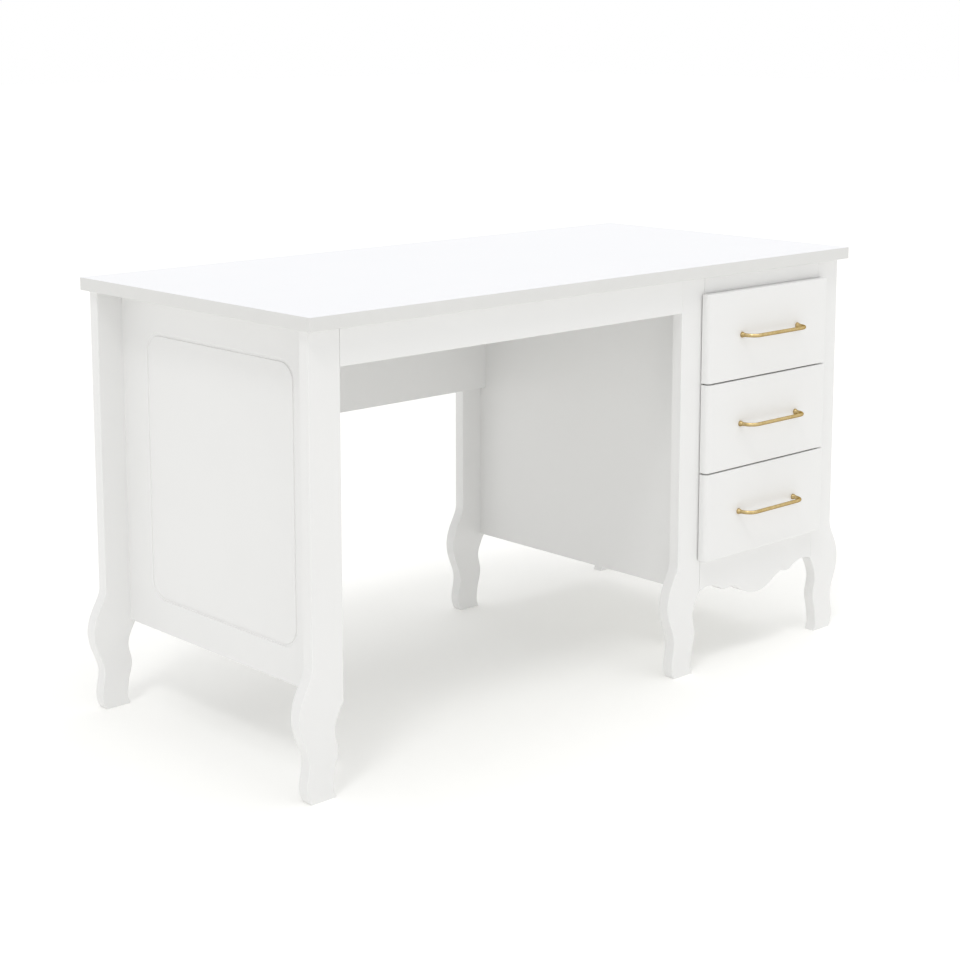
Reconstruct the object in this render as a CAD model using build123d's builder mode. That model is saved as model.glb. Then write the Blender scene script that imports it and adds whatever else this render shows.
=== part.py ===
"""Kneehole dressing table with one pedestal of three drawers.

The row frame has X along the width with the drawers at +X, +Y to the back and Z up
from the floor. The origin is on the floor, below the middle of the bounding box.
All sizes are in millimetres.
"""

import os

from build123d import *

# ---------------------------------------------------------------- driving dimensions
table_width = 1300.0
table_height = 750.0
top_depth = 620.0
top_thickness = 22.0
top_side_overhang = 10.5
top_front_overhang = 18.0
top_edge_round = 1.2

board = 22.0  # legs and visible rails
frame_depth = 590.0  # front face of the front legs to back face of the rear legs
leg_width = 60.0
leg_edge_round = 1.5
pedestal_width = 448.0

panel_thickness = 12.0
panel_bottom = 150.0  # underside of the side panels
groove_width = 6.0
groove_depth = 1.8
groove_floor_round = 1.1
groove_lip_round = 0.5
groove_side_margin = 73.0  # from each upright edge of the panel to the groove
groove_low = 207.0
groove_high = 665.5
groove_corner = 35.0

rail_height = 61.0  # front rails below the top
modesty_bottom = 452.5
modesty_thickness = 15.5
pedestal_floor = 160.0  # underside of the pedestal's bottom board
apron_top = 216.0

front_height = 160.8
front_gap = 2.5
front_lowest = 209.0
front_side_lap = 8.0  # how far a drawer front laps over each leg
front_thickness = 16.0
front_standoff = 2.0  # air between the drawer fronts and the legs
front_side_round = 8.0  # round-over of the upright edges
front_rim_round = 2.0  # round-over of the long edges

box_height = 110.0
box_rise = 14.0  # box underside above the underside of its front
box_board = 12.0
box_length = 450.0
box_bottom_board = 5.0
box_bottom_rise = 10.0
box_groove = 6.0
box_edge_round = 1.0
slide_space = 12.7  # side clearance that the ball-bearing slides fill

handle_centres = 160.0
handle_bar = 6.8
handle_reach = 27.0  # bar axis in front of the drawer front
handle_splay = 2.5  # how far each end of the bar leans in from its foot
handle_bend = 19.0
handle_foot = 10.5
handle_foot_disc = 1.8
handle_foot_step = 0.5  # from the disc's rim to the foot of the cone
handle_foot_length = 7.5

dowel_diameter = 6.0
dowel_length = 30.0
dowel_in_leg = 12.0
dowel_in_panel = 8.0
dowel_chamfer = 0.8
hole_ease = 0.1  # added to the radius of every hole
hole_end_gap = 0.5  # added to the depth of every blind hole

# ---------------------------------------------------------------- derived places
underside = table_height - top_thickness
leg_left = -table_width / 2 + top_side_overhang
leg_right = -leg_left
pedestal_left = leg_right - pedestal_width
opening_left = pedestal_left + leg_width
opening_right = leg_right - leg_width
pedestal_middle = (opening_left + opening_right) / 2
opening_width = opening_right - opening_left

handle_out = handle_reach + handle_bar / 2
front_face_out = front_standoff + front_thickness
rear_overhang = top_depth - top_front_overhang - frame_depth
whole_depth = front_face_out + handle_out + frame_depth + rear_overhang
legs_front = -whole_depth / 2 + handle_out + front_face_out
legs_back = legs_front + frame_depth
panel_front = legs_front + board
panel_back = legs_back - board
modesty_front = panel_back - modesty_thickness
back_panel_front = panel_back - panel_thickness
front_back_face = legs_front - front_standoff
front_face = front_back_face - front_thickness
rail_bottom = underside - rail_height
box_left = opening_left + slide_space
box_right = opening_right - slide_space

CENTRED_UP = (Align.CENTER, Align.CENTER, Align.MIN)
ALONG_X = (1, 0, 0)
AGAINST_X = (-1, 0, 0)
ALONG_Y = (0, 1, 0)
AGAINST_Y = (0, -1, 0)
UPWARD = (0, 0, 1)

drawer_names = ["bottom", "middle", "top"]
drawer_lows = [front_lowest + row * (front_height + front_gap) for row in range(3)]

os.makedirs("parts", exist_ok=True)


def save(solid, name):
    """Label a finished piece and write it to its own file."""
    solid.label = name
    export_step(solid, f"parts/{name}.step")


def facing(point, direction):
    """Plane at a point, with its normal along a direction."""
    return Plane(origin=point, z_dir=direction)


def front_plane(y):
    """Upright plane at y whose own axes are the frame's X and Z."""
    return Plane(origin=(0, y, 0), x_dir=ALONG_X, z_dir=AGAINST_Y)


def drill(holes, radius, depth):
    """Cut round blind holes into the part that is being built."""
    for point, direction in holes:
        with Locations(facing(point, direction)):
            Cylinder(radius, depth, align=CENTRED_UP, mode=Mode.SUBTRACT)


def slab(low, high, mode=Mode.ADD):
    """Add, or cut, a rectangular block between two corners of the part that is being built."""
    size = Vector(*high) - Vector(*low)
    with Locations((Vector(*low) + Vector(*high)) / 2):
        Box(size.X, size.Y, size.Z, mode=mode)


# ---------------------------------------------------------------- dowels
# A dowel is its first end and the direction that it runs in.
def panel_dowels(x):
    """Dowels from both legs into the upright ends of a side panel centred on x."""
    heights = (190.0, 440.0, 650.0)
    front = [((x, panel_front - dowel_in_leg, z), ALONG_Y) for z in heights]
    rear = [((x, panel_back + dowel_in_leg, z), AGAINST_Y) for z in heights]
    return front + rear


def rail_dowels(x_left, x_right, y, heights, depth=dowel_in_leg):
    """Dowels at both ends of a rail that spans x_left to x_right."""
    left = [((x_left - depth, y, z), ALONG_X) for z in heights]
    right = [((x_right + depth, y, z), AGAINST_X) for z in heights]
    return left + right


left_panel_x = leg_left + leg_width - panel_thickness / 2
pedestal_left_panel_x = opening_left - panel_thickness / 2
pedestal_right_panel_x = opening_right + panel_thickness / 2
kneehole_left = leg_left + leg_width
kneehole_right = pedestal_left + leg_width - panel_thickness
front_rail_y = legs_front + board / 2
modesty_y = modesty_front + modesty_thickness / 2
rail_dowel_heights = (rail_bottom + 13, underside - 13)

side_dowels = (
    panel_dowels(left_panel_x)
    + panel_dowels(pedestal_left_panel_x)
    + panel_dowels(pedestal_right_panel_x)
)
kneehole_rail_dowels = rail_dowels(kneehole_left, pedestal_left, front_rail_y, rail_dowel_heights)
pedestal_rail_dowels = rail_dowels(opening_left, opening_right, front_rail_y, rail_dowel_heights)
apron_dowels = rail_dowels(opening_left, opening_right, front_rail_y, (172.0, 200.0))
modesty_dowels = rail_dowels(
    kneehole_left, kneehole_right, modesty_y, (480.0, 590.0, 700.0), dowel_in_panel
)
front_rail_dowels = kneehole_rail_dowels + pedestal_rail_dowels + apron_dowels
pedestal_dowels = rail_dowels(
    opening_left,
    opening_right,
    back_panel_front + panel_thickness / 2,
    (230.0, 390.0, 680.0),
    dowel_in_panel,
)
for depth_from_front in (60.0, 260.0, 460.0):
    pedestal_dowels += rail_dowels(
        opening_left,
        opening_right,
        panel_front + depth_from_front,
        (pedestal_floor + panel_thickness / 2,),
        dowel_in_panel,
    )


def dowel_holes(dowels):
    """Cut the holes of the dowels, which are a little longer than the dowels."""
    starts = [(Vector(*point) - Vector(*way) * hole_end_gap, way) for point, way in dowels]
    drill(starts, dowel_diameter / 2 + hole_ease, dowel_length + 2 * hole_end_gap)


def make_dowels(dowels, name):
    """Write a group of equal dowels with chamfered ends."""
    with BuildPart() as group:
        for point, direction in dowels:
            with Locations(facing(point, direction)):
                Cylinder(dowel_diameter / 2, dowel_length, align=CENTRED_UP)
        chamfer(group.edges().filter_by(GeomType.CIRCLE), dowel_chamfer)
    save(group.part, name)


# ---------------------------------------------------------------- top brackets
bracket_leg = 24.0
bracket_width = 18.0
bracket_steel = 1.6
bracket_hole = 2.3
bracket_hole_out = 15.0  # hole centre from the outer corner
screw_radius = 1.9
screw_head_radius = 3.8
screw_head = 1.8
screw_grip = 8.5  # thread length beyond the bracket

# A bracket is a point on the upright board at the underside of the top, and the
# direction that the board faces.
brackets = (
    [((kneehole_left, legs_front + y, underside), ALONG_X) for y in (160.0, 430.0)]
    + [((kneehole_right, legs_front + y, underside), AGAINST_X) for y in (160.0, 430.0)]
    + [((opening_right, legs_front + y, underside), AGAINST_X) for y in (160.0, 430.0)]
    + [((x, panel_front, underside), ALONG_Y) for x in (-380.0, 20.0)]
    + [((x, modesty_front, underside), AGAINST_Y) for x in (-380.0, 20.0)]
)


def bracket_plane(point, direction):
    """Plane whose X runs away from the board and whose Y runs down from the top."""
    return Plane(origin=point, x_dir=direction, z_dir=Vector(*direction).cross(Vector(0, 0, -1)))


def bracket_screws():
    """Head point and drive direction of the two screws in every bracket."""
    screws = []
    for point, direction in brackets:
        away = Vector(*direction)
        corner = Vector(*point)
        into_top = corner + away * bracket_hole_out - Vector(0, 0, bracket_steel)
        into_board = corner + away * bracket_steel - Vector(0, 0, bracket_hole_out)
        screws.append((into_top, Vector(0, 0, 1)))
        screws.append((into_board, away * -1))
    return screws


fixing_screws = bracket_screws()


def screw_holes():
    """Pilot holes of the bracket screws."""
    drill(fixing_screws, screw_radius + hole_ease, bracket_steel + screw_grip + hole_end_gap)


def make_top_brackets():
    with BuildPart() as group:
        for point, direction in brackets:
            with BuildSketch(bracket_plane(point, direction)):
                with BuildLine():
                    Polyline(
                        (0, 0),
                        (bracket_leg, 0),
                        (bracket_leg, bracket_steel),
                        (bracket_steel, bracket_steel),
                        (bracket_steel, bracket_leg),
                        (0, bracket_leg),
                        close=True,
                    )
                make_face()
            extrude(amount=bracket_width / 2, both=True)
        for point, direction in fixing_screws:
            with Locations(facing(point, direction)):
                Cylinder(bracket_hole, 3 * bracket_steel, mode=Mode.SUBTRACT)
    save(group.part, "top_fixing_brackets")


def make_top_screws():
    with BuildPart() as group:
        for point, direction in fixing_screws:
            with Locations(facing(point, direction)):
                Cylinder(screw_radius, bracket_steel + screw_grip, align=CENTRED_UP)
            with Locations(facing(point, Vector(*direction) * -1)):
                Cone(screw_head_radius, screw_head_radius * 0.6, screw_head, align=CENTRED_UP)
    save(group.part, "top_fixing_screws")


# ---------------------------------------------------------------- carcass
def make_top():
    with BuildPart() as top:
        slab(
            (-table_width / 2, legs_front - top_front_overhang, underside),
            (table_width / 2, legs_back + rear_overhang, table_height),
        )
        fillet(top.edges(), top_edge_round)
        screw_holes()
    save(top.part, "desk_top")


def make_leg(name, outer_x, inward, near_y, dowels):
    """Board leg cut to a cabriole outline; inward is the way from its straight outer edge."""
    knee_top = 214.0
    shoulder = 148.0

    def at(across, z):
        return (outer_x + inward * across, z)

    with BuildPart() as leg:
        with BuildSketch(front_plane(near_y)):
            with BuildLine():
                Polyline(
                    at(0, knee_top), at(0, underside), at(leg_width, underside), at(leg_width, shoulder)
                )
                Spline(
                    at(leg_width, shoulder),
                    at(48.5, 128),
                    at(42.6, 108),
                    at(48.6, 76),
                    at(42.5, 46),
                    at(39, 24),
                    at(43.5, 0),
                    tangents=[(-0.6 * inward, -0.8), (0.45 * inward, -0.9)],
                )
                Line(at(43.5, 0), at(-5, 0))
                Spline(
                    at(-5, 0),
                    at(-12.6, 27),
                    at(-7, 67),
                    at(-20, 107),
                    at(-25.8, 141),
                    at(-13, 181),
                    at(0, knee_top),
                    tangents=[(-0.6 * inward, 0.8), (0, 1)],
                    tangent_scalars=[1, 1],
                )
            make_face()
        extrude(amount=board, dir=ALONG_Y)
        rims = leg.faces().filter_by(Axis.Y).edges()
        fillet(rims.filter_by(lambda rim: 1 < rim.center().Z < underside - 1), leg_edge_round)
        dowel_holes(dowels)
    save(leg.part, name)


def groove_edges(panel, x):
    """Edges of a panel's groove that lie at x, without the panel's own outline."""
    at_x = panel.edges().filter_by_position(Axis.X, x - 0.01, x + 0.01)
    inside = at_x.filter_by_position(Axis.Y, panel_front + 1, panel_back - 1)
    return inside.filter_by_position(Axis.Z, panel_bottom + 1, underside - 1)


def make_side_panel(name, x_low, dowels, grooved_x=None):
    """Thin upright panel between two legs, with a routed groove on one face if asked."""
    with BuildPart() as panel:
        slab((x_low, panel_front, panel_bottom), (x_low + panel_thickness, panel_back, underside))
        if grooved_x is not None:
            middle = ((panel_front + panel_back) / 2, (groove_low + groove_high) / 2)
            width = panel_back - panel_front - 2 * groove_side_margin
            height = groove_high - groove_low
            with BuildSketch(Plane.YZ.offset(grooved_x)):
                with Locations(middle):
                    RectangleRounded(width, height, groove_corner)
                    RectangleRounded(
                        width - 2 * groove_width,
                        height - 2 * groove_width,
                        groove_corner - groove_width,
                        mode=Mode.SUBTRACT,
                    )
            extrude(amount=groove_depth, both=True, mode=Mode.SUBTRACT)
            floor_x = grooved_x + (groove_depth if grooved_x < x_low + 1 else -groove_depth)
            fillet(groove_edges(panel, floor_x), groove_floor_round)
            fillet(groove_edges(panel, grooved_x), groove_lip_round)
        dowel_holes(dowels)
        screw_holes()
        if x_low > kneehole_left:
            pilot = slide_screw_length + hole_end_gap
            drill(cabinet_slide_screws(), slide_screw_radius + hole_ease, pilot)
    save(panel.part, name)


def make_board(name, low, high, dowels, lower_round=0.0):
    """Plain board between two corners, with its two lower long edges eased if asked."""
    with BuildPart() as plain:
        slab(low, high)
        if lower_round:
            fillet(plain.edges().filter_by(Axis.X).group_by(Axis.Z)[0], lower_round)
        dowel_holes(dowels)
        screw_holes()
    save(plain.part, name)


def make_apron():
    """Scalloped apron below the drawers: a centre lobe, two small bumps and two arches."""
    half = opening_width / 2
    arch_end = (half, 150.5)
    arch_crown = (138.0, 155.6)
    bump_outer = (100.0, 141.5)
    bump_low = (88.0, 140.8)
    cusp = (74.0, 143.5)
    lobe_side = (47.0, 131.0)
    lobe_low = (0.0, 117.0)

    def left(point):
        return (pedestal_middle - point[0], point[1])

    def right(point):
        return (pedestal_middle + point[0], point[1])

    with BuildPart() as apron:
        with BuildSketch(front_plane(legs_front)):
            with BuildLine():
                ThreePointArc(left(arch_end), left(arch_crown), left(bump_outer))
                ThreePointArc(left(bump_outer), left(bump_low), left(cusp))
                Spline(
                    left(cusp),
                    left(lobe_side),
                    left(lobe_low),
                    right(lobe_side),
                    right(cusp),
                    tangents=[(1, -0.12), (1, 0.12)],
                )
                ThreePointArc(right(cusp), right(bump_low), right(bump_outer))
                ThreePointArc(right(bump_outer), right(arch_crown), right(arch_end))
                Polyline(
                    right(arch_end), right((half, apron_top)), left((half, apron_top)), left(arch_end)
                )
            make_face()
        extrude(amount=board, dir=ALONG_Y)
        dowel_holes(apron_dowels)
    save(apron.part, "pedestal_apron")


# ---------------------------------------------------------------- ball-bearing slides
slide_height = 45.0
slide_steel = 1.2
slide_race = 1.8  # room for the balls between two members
slide_length = box_length
slide_middle_length = slide_length - 20.0
slide_middle_set_back = 4.0  # from the front end of the outer member
slide_rise = 48.0  # slide axis above the box underside
slide_start = legs_front + 4.0
slide_web_gap = 2.0  # between the outer member's web and the middle member's
slide_lip_gap = 1.0  # between a member's lips and the web that they face
slide_screw_stations = (60.0, 220.0, 400.0)  # from the front end of the slide
slide_screw_radius = 1.75
slide_screw_length = 11.2
slide_screw_head_radius = 3.4
slide_screw_head = 1.4
slide_screw_play = 0.4  # added to the radius of the holes in the slides' webs
middle_height = slide_height - 2 * (slide_steel + slide_race)
inner_height = middle_height - 2 * (slide_steel + slide_race)


def channel(plane, height, base, tip, length):
    """Add a steel channel with its web at base and its lips ending at tip, in plane's X."""
    web = base + slide_steel if tip > base else base - slide_steel
    inner = height / 2 - slide_steel
    with BuildSketch(plane) as section:
        with BuildLine():
            Polyline(
                (base, -height / 2),
                (tip, -height / 2),
                (tip, -inner),
                (web, -inner),
                (web, inner),
                (tip, inner),
                (tip, height / 2),
                (base, height / 2),
                close=True,
            )
        make_face()
    extrude(section.sketch, amount=length, dir=ALONG_Y)


def slide_planes(z, y_start):
    """Planes of the left and the right slide, with X running from the panel to the box."""
    left_plane = Plane(origin=(opening_left, y_start, z), x_dir=ALONG_X, z_dir=AGAINST_Y)
    right_plane = Plane(origin=(opening_right, y_start, z), x_dir=AGAINST_X, z_dir=ALONG_Y)
    return (left_plane, right_plane)


def slide_z(drawer_low):
    return drawer_low + box_rise + slide_rise


def cabinet_slide_screws():
    """Heads of the screws that hold the outer members on the panels."""
    screws = []
    for drawer_low in drawer_lows:
        for station in slide_screw_stations:
            y, z = slide_start + station, slide_z(drawer_low)
            screws.append(((opening_left + slide_steel, y, z), AGAINST_X))
            screws.append(((opening_right - slide_steel, y, z), ALONG_X))
    return screws


def drawer_slide_screws(drawer_low):
    """Heads of the screws that hold the inner members on one drawer box."""
    screws = []
    for station in slide_screw_stations:
        y, z = slide_start + station, slide_z(drawer_low)
        screws.append(((box_left - slide_steel, y, z), ALONG_X))
        screws.append(((box_right + slide_steel, y, z), AGAINST_X))
    return screws


def web_holes(screws):
    """Clearance holes of the screws in the web of a slide member."""
    for point, direction in screws:
        with Locations(facing(point, direction)):
            Cylinder(slide_screw_radius + slide_screw_play, 4 * slide_steel, mode=Mode.SUBTRACT)


def make_cabinet_slides():
    with BuildPart() as members:
        for drawer_low in drawer_lows:
            for plane in slide_planes(slide_z(drawer_low), slide_start):
                tip = slide_space - slide_steel - slide_lip_gap
                channel(plane, slide_height, 0.0, tip, slide_length)
        web_holes(cabinet_slide_screws())
    save(members.part, "slide_cabinet_members")


def make_middle_slides(row, drawer_low):
    with BuildPart() as members:
        for plane in slide_planes(slide_z(drawer_low), slide_start + slide_middle_set_back):
            base = slide_steel + slide_web_gap
            tip = slide_space - slide_lip_gap
            channel(plane, middle_height, base, tip, slide_middle_length)
    save(members.part, f"{row}_slide_middle_members")


def make_drawer_slides(row, drawer_low):
    with BuildPart() as members:
        for plane in slide_planes(slide_z(drawer_low), slide_start):
            tip = 2 * slide_steel + slide_web_gap + slide_lip_gap
            channel(plane, inner_height, slide_space, tip, slide_length)
        web_holes(drawer_slide_screws(drawer_low))
    save(members.part, f"{row}_slide_drawer_members")


# ---------------------------------------------------------------- drawers
box_front = front_back_face
box_back = box_front + box_length
handle_ends = [pedestal_middle - handle_centres / 2, pedestal_middle + handle_centres / 2]
front_screw_insets = (45.0, 25.0)  # from the box's side and from its lower or upper edge
front_screw_head = 2.0
front_screw_head_radius = 4.0
front_screw_radius = 2.0
front_screw_length = 24.0
handle_screw_radius = 2.0
handle_screw_head_radius = 4.2
handle_screw_head = 2.6
handle_screw_in = 6.5  # thread inside the handle's foot
recess_width = 0.9  # of the cross in a screw's head


def front_screw_points(drawer_low):
    """Heads of the four screws that hold a drawer front on its box."""
    inset_x, inset_z = front_screw_insets
    low = drawer_low + box_rise
    columns = (box_left + inset_x, box_right - inset_x)
    heights = (low + inset_z, low + box_height - inset_z)
    return [((x, box_front + box_board, z), AGAINST_Y) for x in columns for z in heights]


def handle_screw_points(drawer_low):
    """Heads of the two screws that hold a handle."""
    z = handle_z(drawer_low)
    return [((x, box_front + box_board, z), AGAINST_Y) for x in handle_ends]


def handle_z(drawer_low):
    return drawer_low + front_height / 2


def drawer_holes(drawer_low):
    """Holes for the screws of the front and of the handle."""
    front_holes = front_screw_points(drawer_low)
    drill(front_holes, front_screw_radius + hole_ease, front_screw_length + hole_end_gap)
    through = box_board + front_thickness + 1
    drill(handle_screw_points(drawer_low), handle_screw_radius + hole_ease, through)


def slide_screw_holes(drawer_low):
    """Pilot holes of the screws that hold the slides' inner members on the box."""
    pilot = slide_screw_length + hole_end_gap
    drill(drawer_slide_screws(drawer_low), slide_screw_radius + hole_ease, pilot)


def make_drawer_front(row, drawer_low):
    with BuildPart() as front:
        slab(
            (opening_left - front_side_lap, front_face, drawer_low),
            (opening_right + front_side_lap, front_back_face, drawer_low + front_height),
        )
        fillet(front.edges().filter_by(Axis.Z).group_by(Axis.Y)[0], front_side_round)
        for end in (0, -1):
            rim = front.faces().sort_by(Axis.Z)[end].edges()
            fillet(rim.filter_by(lambda edge: edge.center().Y < front_back_face - 1), front_rim_round)
        drawer_holes(drawer_low)
    save(front.part, f"{row}_drawer_front")


def box_groove_cut(drawer_low):
    """Cut the groove that holds the bottom board into a wall of the box."""
    low = drawer_low + box_rise + box_bottom_rise
    inset = box_board - box_groove
    corner_low = (box_left + inset, box_front + inset, low - hole_ease)
    corner_high = (box_right - inset, box_back - inset, low + box_bottom_board + hole_ease)
    slab(corner_low, corner_high, Mode.SUBTRACT)


def make_box_wall(name, drawer_low, low, high, drill_holes):
    with BuildPart() as wall:
        slab(low, high)
        fillet(wall.faces().sort_by(Axis.Z)[-1].edges(), box_edge_round)
        box_groove_cut(drawer_low)
        drill_holes(drawer_low)
    save(wall.part, name)


def make_drawer_box(row, drawer_low):
    """Four walls and a grooved-in bottom board."""
    low = drawer_low + box_rise
    high = low + box_height
    sides = {"left": box_left, "right": box_right - box_board}
    for side, x in sides.items():
        make_box_wall(
            f"{row}_drawer_{side}_side",
            drawer_low,
            (x, box_front, low),
            (x + box_board, box_back, high),
            slide_screw_holes,
        )
    ends = {"inner_front": box_front, "back": box_back - box_board}
    for end, y in ends.items():
        make_box_wall(
            f"{row}_drawer_{end}",
            drawer_low,
            (box_left + box_board, y, low),
            (box_right - box_board, y + box_board, high),
            drawer_holes,
        )
    inset = box_board - box_groove + hole_end_gap
    with BuildPart() as bottom:
        slab(
            (box_left + inset, box_front + inset, low + box_bottom_rise),
            (box_right - inset, box_back - inset, low + box_bottom_rise + box_bottom_board),
        )
    save(bottom.part, f"{row}_drawer_bottom")


def make_handle(row, drawer_low):
    """Round bow handle whose ends lean in from two flared feet."""
    z = handle_z(drawer_low)
    bar_y = front_face - handle_reach
    root_y = front_face - 1
    x_left, x_right = handle_ends
    cone_length = handle_foot_length - handle_foot_disc
    cone_radius = handle_foot / 2 - handle_foot_step
    with BuildPart() as handle:
        with BuildLine() as bow:
            FilletPolyline(
                (x_left, root_y, z),
                (x_left + handle_splay, bar_y, z),
                (x_right - handle_splay, bar_y, z),
                (x_right, root_y, z),
                radius=handle_bend,
            )
        with BuildSketch(Plane(origin=bow.line @ 0, z_dir=bow.line % 0)):
            Circle(handle_bar / 2)
        sweep()
        for x in handle_ends:
            with Locations(facing((x, front_face, z), AGAINST_Y)):
                Cylinder(handle_foot / 2, handle_foot_disc, align=CENTRED_UP)
            with Locations(facing((x, front_face - handle_foot_disc, z), AGAINST_Y)):
                Cone(cone_radius, handle_bar / 2, cone_length, align=CENTRED_UP)
        drill(
            [((x, front_face, z), AGAINST_Y) for x in handle_ends],
            handle_screw_radius + hole_ease,
            handle_screw_in + hole_end_gap,
        )
        split(bisect_by=front_plane(front_face), keep=Keep.TOP)
    save(handle.part, f"{row}_drawer_handle")


def make_screws(name, screws, shank_radius, length, head_radius, head_height):
    """Write a group of equal pan-head screws with a cross recess."""
    with BuildPart() as group:
        for point, direction in screws:
            outward = Vector(*direction) * -1
            with Locations(facing(point, direction)):
                Cylinder(shank_radius, length, align=CENTRED_UP)
            with Locations(facing(point, outward)):
                Cone(head_radius, head_radius * 0.7, head_height, align=CENTRED_UP)
            recess = Vector(*point) + outward * head_height
            with Locations(facing(recess, direction)):
                Box(head_radius, recess_width, head_height, mode=Mode.SUBTRACT)
                Box(recess_width, head_radius, head_height, mode=Mode.SUBTRACT)
    save(group.part, name)


def make_drawer(row, drawer_low):
    make_drawer_front(row, drawer_low)
    make_drawer_box(row, drawer_low)
    make_handle(row, drawer_low)
    make_screws(
        f"{row}_drawer_front_screws",
        front_screw_points(drawer_low),
        front_screw_radius,
        front_screw_length,
        front_screw_head_radius,
        front_screw_head,
    )
    make_screws(
        f"{row}_drawer_handle_screws",
        handle_screw_points(drawer_low),
        handle_screw_radius,
        box_board + front_thickness + handle_screw_in,
        handle_screw_head_radius,
        handle_screw_head,
    )
    make_screws(
        f"{row}_slide_drawer_screws",
        drawer_slide_screws(drawer_low),
        slide_screw_radius,
        slide_screw_length,
        slide_screw_head_radius,
        slide_screw_head,
    )
    make_drawer_slides(row, drawer_low)
    make_middle_slides(row, drawer_low)


# ---------------------------------------------------------------- assembly
make_top()
rear_y = legs_back - board
left_dowels = panel_dowels(left_panel_x)
centre_dowels = panel_dowels(pedestal_left_panel_x)
right_dowels = panel_dowels(pedestal_right_panel_x)
make_leg("front_left_leg", leg_left, 1, legs_front, left_dowels + kneehole_rail_dowels)
make_leg("front_centre_leg", pedestal_left, 1, legs_front, centre_dowels + front_rail_dowels)
make_leg("front_right_leg", leg_right, -1, legs_front, right_dowels + front_rail_dowels)
make_leg("rear_left_leg", leg_left, 1, rear_y, left_dowels)
make_leg("rear_centre_leg", pedestal_left, 1, rear_y, centre_dowels)
make_leg("rear_right_leg", leg_right, -1, rear_y, right_dowels)

left_panel_low = kneehole_left - panel_thickness
make_side_panel("left_side_panel", left_panel_low, left_dowels + modesty_dowels, left_panel_low)
make_side_panel(
    "pedestal_left_panel", kneehole_right, centre_dowels + modesty_dowels + pedestal_dowels
)
make_side_panel(
    "pedestal_right_panel",
    opening_right,
    right_dowels + pedestal_dowels,
    opening_right + panel_thickness,
)

make_board(
    "kneehole_front_rail",
    (kneehole_left, legs_front, rail_bottom),
    (pedestal_left, legs_front + board, underside),
    kneehole_rail_dowels,
    leg_edge_round,
)
make_board(
    "kneehole_rear_rail",
    (kneehole_left, modesty_front, modesty_bottom),
    (kneehole_right, panel_back, underside),
    modesty_dowels,
    leg_edge_round,
)
make_board(
    "pedestal_top_rail",
    (opening_left, legs_front, rail_bottom),
    (opening_right, legs_front + board, underside),
    pedestal_rail_dowels,
)
make_board(
    "pedestal_back_panel",
    (opening_left, back_panel_front, panel_bottom),
    (opening_right, panel_back, underside),
    pedestal_dowels,
)
make_board(
    "pedestal_bottom_panel",
    (opening_left, panel_front, pedestal_floor),
    (opening_right, back_panel_front, pedestal_floor + panel_thickness),
    pedestal_dowels,
)
make_apron()
make_dowels(side_dowels, "side_panel_dowels")
make_dowels(front_rail_dowels + modesty_dowels, "rail_dowels")
make_dowels(pedestal_dowels, "pedestal_dowels")
make_top_brackets()
make_top_screws()
make_cabinet_slides()
make_screws(
    "slide_cabinet_screws",
    cabinet_slide_screws(),
    slide_screw_radius,
    slide_screw_length,
    slide_screw_head_radius,
    slide_screw_head,
)
for row, drawer_low in zip(drawer_names, drawer_lows):
    make_drawer(row, drawer_low)
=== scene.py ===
"""Looks of the kneehole dressing table: lacquer, brass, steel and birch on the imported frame."""

import math

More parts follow.
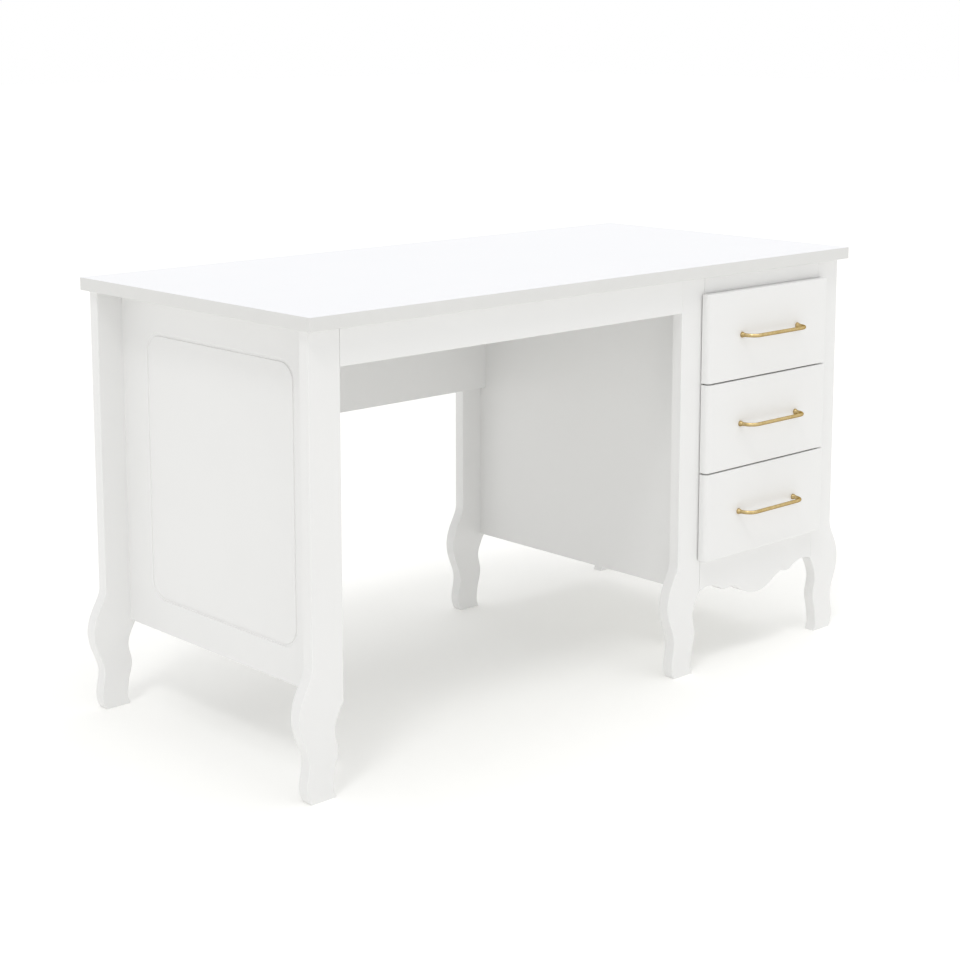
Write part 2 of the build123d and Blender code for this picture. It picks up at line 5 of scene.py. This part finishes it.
import bpy
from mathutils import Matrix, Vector

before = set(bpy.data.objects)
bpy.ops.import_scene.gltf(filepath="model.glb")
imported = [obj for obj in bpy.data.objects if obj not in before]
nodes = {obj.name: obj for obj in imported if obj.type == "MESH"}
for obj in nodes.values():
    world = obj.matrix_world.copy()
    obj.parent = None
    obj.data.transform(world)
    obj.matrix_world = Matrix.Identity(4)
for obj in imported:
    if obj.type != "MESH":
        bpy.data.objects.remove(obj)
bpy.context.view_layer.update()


# ---------------------------------------------------------------- node helpers
class Shader:
    """A node material under construction, with short calls for the nodes that repeat."""

    def __init__(self, name):
        self.material = bpy.data.materials.new(name)
        self.material.use_nodes = True
        self.tree = self.material.node_tree
        self.tree.nodes.clear()
        output = self.add("ShaderNodeOutputMaterial")
        self.surface = self.add("ShaderNodeBsdfPrincipled")
        self.link(self.surface.outputs["BSDF"], output.inputs["Surface"])
        self.place = self.add("ShaderNodeTexCoord").outputs["Object"]

    def add(self, kind):
        return self.tree.nodes.new(kind)

    def link(self, source, target):
        self.tree.links.new(source, target)

    def feed(self, socket, value):
        """Link a socket to an output, or set its constant; a colour has three numbers."""
        if isinstance(value, bpy.types.NodeSocket):
            self.link(value, socket)
        else:
            socket.default_value = (*value, 1) if isinstance(value, tuple) else value

    def stretched(self, scale):
        """Object coordinates with a scale for each axis, for grain that runs one way."""
        mapping = self.add("ShaderNodeMapping")
        self.link(self.place, mapping.inputs["Vector"])
        mapping.inputs["Scale"].default_value = scale
        return mapping.outputs["Vector"]

    def noise(self, scale=1.0, detail=3.0, roughness=0.5, place=None, distortion=0.0):
        """Fractal noise; the scale is in patches per metre."""
        node = self.add("ShaderNodeTexNoise")
        self.link(place or self.place, node.inputs["Vector"])
        node.inputs["Scale"].default_value = scale
        node.inputs["Detail"].default_value = detail
        node.inputs["Roughness"].default_value = roughness
        node.inputs["Distortion"].default_value = distortion
        return node.outputs["Fac"]

    def ramp(self, value, stops):
        """Colour ramp; each stop is a position and a colour."""
        node = self.add("ShaderNodeValToRGB")
        self.link(value, node.inputs["Fac"])
        elements = node.color_ramp.elements
        while len(elements) < len(stops):
            elements.new(0.5)
        for element, (position, colour) in zip(elements, stops):
            element.position = position
            element.color = (*colour, 1)
        return node.outputs["Color"]

    def spread(self, value, low, high, start=0.0, end=1.0):
        """Map a value from start..end to low..high."""
        node = self.add("ShaderNodeMapRange")
        self.feed(node.inputs["Value"], value)
        node.inputs["From Min"].default_value = start
        node.inputs["From Max"].default_value = end
        node.inputs["To Min"].default_value = low
        node.inputs["To Max"].default_value = high
        return node.outputs["Result"]

    def vary(self, noise, low, high):
        """Low to high over the range that holds most of a noise's values."""
        return self.spread(noise, low, high, start=0.3, end=0.7)

    def above(self, value, start, end, strength=1.0):
        """0 where the value is under start, climbing to the strength at end."""
        return self.spread(value, 0.0, strength, start, end)

    def below(self, value, start, end, strength=1.0):
        """The strength where the value is under start, falling to 0 at end."""
        return self.spread(value, strength, 0.0, start, end)

    def maths(self, operation, first, second=0.0):
        node = self.add("ShaderNodeMath")
        node.operation = operation
        self.feed(node.inputs[0], first)
        self.feed(node.inputs[1], second)
        return node.outputs["Value"]

    def mix(self, factor, first, second):
        """First colour where the factor is 0, second where it is 1."""
        node = self.add("ShaderNodeMix")
        node.data_type = "RGBA"
        self.feed(node.inputs["Factor"], factor)
        colours = [socket for socket in node.inputs if socket.type == "RGBA"]
        self.feed(colours[0], first)
        self.feed(colours[1], second)
        return next(socket for socket in node.outputs if socket.type == "RGBA")

    def bump(self, *layers):
        """Stack bump layers of (height, strength, distance in metres) on the surface."""
        normal = None
        for height, strength, distance in layers:
            node = self.add("ShaderNodeBump")
            node.inputs["Strength"].default_value = strength
            node.inputs["Distance"].default_value = distance
            self.link(height, node.inputs["Height"])
            if normal is not None:
                self.link(normal, node.inputs["Normal"])
            normal = node.outputs["Normal"]
        self.link(normal, self.surface.inputs["Normal"])

    def along(self, vector, axis):
        """One axis of a vector output."""
        parts = self.add("ShaderNodeSeparateXYZ")
        self.link(vector, parts.inputs["Vector"])
        return parts.outputs[axis]

    def true_normal(self):
        return self.add("ShaderNodeNewGeometry").outputs["Normal"]

    def edges(self, radius):
        """1 on sharp edges and 0 on flats, from how a rounded normal differs from the true one."""
        bevel = self.add("ShaderNodeBevel")
        bevel.inputs["Radius"].default_value = radius
        agreement = self.add("ShaderNodeVectorMath")
        agreement.operation = "DOT_PRODUCT"
        self.link(bevel.outputs["Normal"], agreement.inputs[0])
        self.link(self.true_normal(), agreement.inputs[1])
        return self.below(agreement.outputs["Value"], start=0.75, end=0.995)

    def hollows(self, reach, strength, start=0.2, end=0.8):
        """The strength deep in corners and 0 in the open."""
        openness = self.add("ShaderNodeAmbientOcclusion")
        openness.inputs["Distance"].default_value = reach
        return self.below(openness.outputs["AO"], start, end, strength)

    def set(self, **values):
        """Feed the shader's own sockets; underscores stand for spaces in their names."""
        for name, value in values.items():
            self.feed(self.surface.inputs[name.replace("_", " ")], value)


# ---------------------------------------------------------------- materials
# Colours are linear. A stop is a place on the ramp and its colour.
frame_bright = (0.897, 0.896, 0.889)
frame_dull = (0.882, 0.881, 0.874)
frame_worn = (0.93, 0.92, 0.89)
# Painted light: the top's upper face is a lighter, bluer white than the frame.
lit_top_bright = (0.945, 0.950, 0.975)
lit_top_dull = (0.935, 0.942, 0.97)
top_worn = (0.95, 0.95, 0.96)
# Painted shade: the top's edge band is darker than its upper face.
shaded_band_bright = (0.775, 0.773, 0.76)
shaded_band_dull = (0.755, 0.755, 0.74)
# Colour of the painted shade in the lacquer's creases and corners.
crease_shade = (0.66, 0.65, 0.60)

brass_stops = [(0.30, (0.53, 0.40, 0.18)), (0.55, (0.63, 0.49, 0.25)), (0.75, (0.72, 0.58, 0.33))]
brass_line = (0.42, 0.28, 0.10)
# Painted shade on the handle's downward faces.
brass_underside_shade = (0.34, 0.23, 0.09)
brass_hollow = (0.18, 0.11, 0.04)
brass_rubbed = (0.93, 0.80, 0.52)
brass_grazing = (0.50, 0.36, 0.18)

slide_zinc = (0.70, 0.71, 0.73)
screw_zinc = (0.74, 0.72, 0.66)
zinc_cloud = (0.56, 0.58, 0.60)
zinc_line = (0.34, 0.34, 0.34)
# Painted shade in the steel's hollows and corners.
zinc_hollow_shade = (0.12, 0.12, 0.12)

birch_stops = [(0.30, (0.56, 0.40, 0.24)), (0.50, (0.70, 0.54, 0.36)), (0.72, (0.78, 0.64, 0.46))]
birch_pore = (0.44, 0.29, 0.16)
birch_dark_layer = (0.40, 0.26, 0.14)
birch_light_layer = (0.70, 0.54, 0.35)
# Painted shade in the birch's hollows and corners.
birch_hollow_shade = (0.26, 0.17, 0.09)
layer_frequency = 4200.0  # radians per metre, a pair of glued layers every 1.5 mm


def lacquer(name, bright, dull, worn, gloss):
    """Sprayed white lacquer on smooth board: orange peel, faint clouding, softly worn edges, and
    painted shade darkening its creases and corners.
    """
    shader = Shader(name)
    clouding = shader.noise(scale=3.2, detail=4.0, roughness=0.6)
    rubbing = shader.noise(scale=60.0)
    gloss_drift = shader.noise(scale=14.0, detail=1.0)
    orange_peel = shader.noise(scale=240.0, detail=1.0)
    waves = shader.noise(scale=9.0, detail=2.0)
    wear = shader.maths("MULTIPLY", shader.edges(radius=0.0012), shader.spread(rubbing, 0.1, 0.4))
    base = shader.mix(shader.vary(clouding, 0.0, 1.0), bright, dull)
    base = shader.mix(wear, base, worn)
    # Painted shade: the lacquer darkens in creases and corners, where the AO node finds little open
    # space.
    base = shader.mix(shader.hollows(0.010, 0.12, start=0.1, end=0.6), base, crease_shade)
    rough = shader.vary(gloss_drift, gloss - 0.02, gloss + 0.03)
    shader.set(Base_Color=base, Roughness=rough, Coat_Weight=0.12, Coat_Roughness=0.18)
    shader.bump((orange_peel, 0.035, 0.0003), (waves, 0.03, 0.002))
    return shader


def top_lacquer(name):
    """Lacquer of the top: its upper face is painted a brighter, bluer white as light from above,
    and its edge band is painted darker as shade.
    """
    shader = lacquer(name, lit_top_bright, lit_top_dull, top_worn, gloss=0.33)
    face = shader.surface.inputs["Base Color"].links[0].from_socket
    clouding = shader.noise(scale=26.0)
    band = shader.mix(shader.above(clouding, 0.4, 0.7, strength=0.5), shaded_band_bright, shaded_band_dull)
    # Painted light and shade: faces that point up get the lit white, the edge band gets the shaded
    # grey.
    facing_up = shader.above(shader.along(shader.true_normal(), "Z"), 0.35, 0.8)
    shader.set(Base_Color=shader.mix(facing_up, band, face))
    return shader


def brass(name):
    """Satin champagne brass: fine lines along the bar, painted shade on its undersides, darker
    patina in hollows.
    """
    shader = Shader(name)
    lines = shader.noise(detail=6.0, roughness=0.7, place=shader.stretched((40.0, 2600.0, 2600.0)))
    patina = shader.noise(scale=140.0, detail=4.0, roughness=0.6)
    upward = shader.along(shader.true_normal(), "Z")
    rubbed = shader.maths("MULTIPLY", shader.edges(radius=0.0006), 0.4)
    base = shader.ramp(patina, brass_stops)
    base = shader.mix(shader.above(lines, 0.4, 0.75, strength=0.25), base, brass_line)
    # Painted shade: faces that point down are darkened.
    base = shader.mix(shader.below(upward, -0.85, 0.25, strength=0.75), base, brass_underside_shade)
    base = shader.mix(shader.hollows(0.004, 0.6), base, brass_hollow)
    base = shader.mix(rubbed, base, brass_rubbed)
    rough = shader.vary(lines, 0.22, 0.36)
    shader.set(Base_Color=base, Metallic=1.0, Roughness=rough, Anisotropic=0.3)
    shader.set(Specular_Tint=brass_grazing)
    shader.bump((lines, 0.12, 0.0001), (patina, 0.05, 0.0002))
    return shader


def steel(name, tint):
    """Zinc-plated steel with drawing lines along Y, a cloudy passivated tint, and painted shade in
    its hollows.
    """
    shader = Shader(name)
    lines = shader.noise(detail=5.0, roughness=0.65, place=shader.stretched((1900.0, 14.0, 1900.0)))
    clouding = shader.noise(scale=45.0, detail=3.0, roughness=0.6)
    base = shader.mix(shader.above(clouding, 0.35, 0.7, strength=0.45), tint, zinc_cloud)
    base = shader.mix(shader.above(lines, 0.35, 0.7, strength=0.25), base, zinc_line)
    # Painted shade: darker in hollows and corners.
    base = shader.mix(shader.hollows(0.008, 0.5), base, zinc_hollow_shade)
    shader.set(Base_Color=base, Metallic=1.0, Roughness=shader.vary(lines, 0.29, 0.46))
    shader.bump((lines, 0.18, 0.00015))
    return shader


def birch(name, grain, through):
    """Birch ply: its grain runs along one axis, and its glued layers are stacked along another;
    painted shade darkens its hollows.
    """
    shader = Shader(name)
    figure_place = shader.stretched([2.2 if axis == grain else 38.0 for axis in "XYZ"])
    pore_place = shader.stretched([16.0 if axis == grain else 700.0 for axis in "XYZ"])
    figure = shader.noise(detail=4.0, roughness=0.6, place=figure_place, distortion=1.2)
    pores = shader.noise(detail=3.0, roughness=0.6, place=pore_place)
    angle = shader.maths("MULTIPLY", shader.along(shader.place, through), layer_frequency)
    layer = shader.above(shader.maths("SINE", angle), -0.3, 0.4)
    layers = shader.mix(layer, birch_dark_layer, birch_light_layer)
    face = shader.maths("ABSOLUTE", shader.along(shader.true_normal(), through))
    base = shader.ramp(figure, birch_stops)
    base = shader.mix(shader.above(pores, 0.5, 0.75, strength=0.35), base, birch_pore)
    base = shader.mix(shader.below(face, 0.3, 0.6), base, layers)
    # Painted shade: darker in hollows and corners.
    base = shader.mix(shader.hollows(0.02, 0.45), base, birch_hollow_shade)
    rough = shader.vary(pores, 0.38, 0.56)
    shader.set(Base_Color=base, Roughness=rough, Coat_Weight=0.1, Coat_Roughness=0.3)
    shader.bump((pores, 0.25, 0.0002), (figure, 0.12, 0.0004))
    return shader


def dress(name, shader):
    """Give a CAD node its material."""
    slots = nodes[name].data.materials
    slots.clear()
    slots.append(shader.material)


frame_white = lacquer("white_lacquer", frame_bright, frame_dull, frame_worn, gloss=0.34)
top_white = top_lacquer("top_lacquer")
handle_brass = brass("champagne_brass")
slide_steel = steel("slide_steel", slide_zinc)
screw_steel = steel("screw_steel", screw_zinc)
birch_sides = birch("birch_sides", grain="Y", through="X")
birch_ends = birch("birch_ends", grain="X", through="Y")
birch_floor = birch("birch_floor", grain="Y", through="Z")

for name in nodes:
    if name == "desk_top":
        dress(name, top_white)
    elif name.endswith("handle"):
        dress(name, handle_brass)
    elif "slide_" in name:
        dress(name, slide_steel)
    elif "screws" in name or "brackets" in name:
        dress(name, screw_steel)
    elif name.endswith(("left_side", "right_side")) or "dowels" in name:
        dress(name, birch_sides)
    elif name.endswith(("inner_front", "drawer_back")):
        dress(name, birch_ends)
    elif name.endswith("drawer_bottom"):
        dress(name, birch_floor)
    else:
        dress(name, frame_white)


# ---------------------------------------------------------------- floor, light, camera
floor_half_width = 30.0
floor_base = (0.965, 0.965, 0.95)
floor_cloud = (0.975, 0.972, 0.955)
floor_glow = (1.0, 0.995, 0.96)
floor_glow_strength = 0.12

surroundings_light = 0.61  # what the white surroundings cast on the table
surroundings_seen = 1.0  # what the camera and reflections see of them

camera_place = (-2.3545, -2.4708, 1.172)
camera_heading = math.radians(43.19)  # from +Y towards +X
camera_tilt = math.radians(8.97)  # below the horizon
camera_sensor = 36.0
camera_lens = 72.3
camera_shift = -0.16  # holds the table up in the picture with little tilt
camera_far = 200.0


def studio_floor():
    """Pale seamless light table, large enough to fill every view."""
    mesh = bpy.data.meshes.new("studio_floor")
    half = floor_half_width
    corners = [(-half, -half, 0), (half, -half, 0), (half, half, 0), (-half, half, 0)]
    mesh.from_pydata(corners, [], [(0, 1, 2, 3)])
    floor = bpy.data.objects.new("studio_floor", mesh)
    bpy.context.collection.objects.link(floor)
    shader = Shader("studio_floor")
    shader.set(
        Base_Color=shader.mix(shader.noise(scale=0.6, detail=2.0), floor_base, floor_cloud),
        Roughness=shader.spread(shader.noise(scale=30.0), 0.75, 0.9),
        Emission_Color=floor_glow,
        Emission_Strength=floor_glow_strength,
    )
    mesh.materials.append(shader.material)


def surroundings():
    """White surroundings, brighter to the camera and in reflections than as a light."""
    world = bpy.data.worlds.new("studio")
    world.use_nodes = True
    tree = world.node_tree
    ray = tree.nodes.new("ShaderNodeLightPath")
    either = tree.nodes.new("ShaderNodeMath")
    either.operation = "MAXIMUM"
    tree.links.new(ray.outputs["Is Camera Ray"], either.inputs[0])
    tree.links.new(ray.outputs["Is Glossy Ray"], either.inputs[1])
    strength = tree.nodes.new("ShaderNodeMapRange")
    strength.inputs["To Min"].default_value = surroundings_light
    strength.inputs["To Max"].default_value = surroundings_seen
    tree.links.new(either.outputs["Value"], strength.inputs["Value"])
    background = tree.nodes["Background"]
    background.inputs["Color"].default_value = (1.0, 1.0, 1.0, 1)
    tree.links.new(strength.outputs["Result"], background.inputs["Strength"])
    bpy.context.scene.world = world


def sun(name, energy, spread_angle, towards):
    """Distant lamp, given its spread in degrees and the direction from the table to it."""
    lamp_data = bpy.data.lights.new(name, "SUN")
    lamp_data.energy = energy
    lamp_data.angle = math.radians(spread_angle)
    lamp = bpy.data.objects.new(name, lamp_data)
    lamp.rotation_euler = Vector(towards).to_track_quat("Z", "Y").to_euler()
    bpy.context.collection.objects.link(lamp)


def studio_camera():
    """Camera at the left front, a little above the top, with its uprights nearly parallel."""
    lens_data = bpy.data.cameras.new("camera")
    lens_data.sensor_width = camera_sensor
    lens_data.lens = camera_lens
    lens_data.shift_y = camera_shift
    lens_data.clip_end = camera_far
    camera = bpy.data.objects.new("camera", lens_data)
    camera.location = camera_place
    camera.rotation_euler = (math.pi / 2 - camera_tilt, 0.0, -camera_heading)
    bpy.context.collection.objects.link(camera)
    bpy.context.scene.camera = camera


studio_floor()
surroundings()
sun("key", energy=0.42, spread_angle=12, towards=(-0.45, -0.25, 0.82))
sun("front_fill", energy=0.12, spread_angle=50, towards=(-0.15, -0.93, 0.33))
sun("overhead", energy=0.80, spread_angle=60, towards=(0.10, -0.10, 0.98))
studio_camera()
bpy.context.scene.view_settings.view_transform = "Standard"
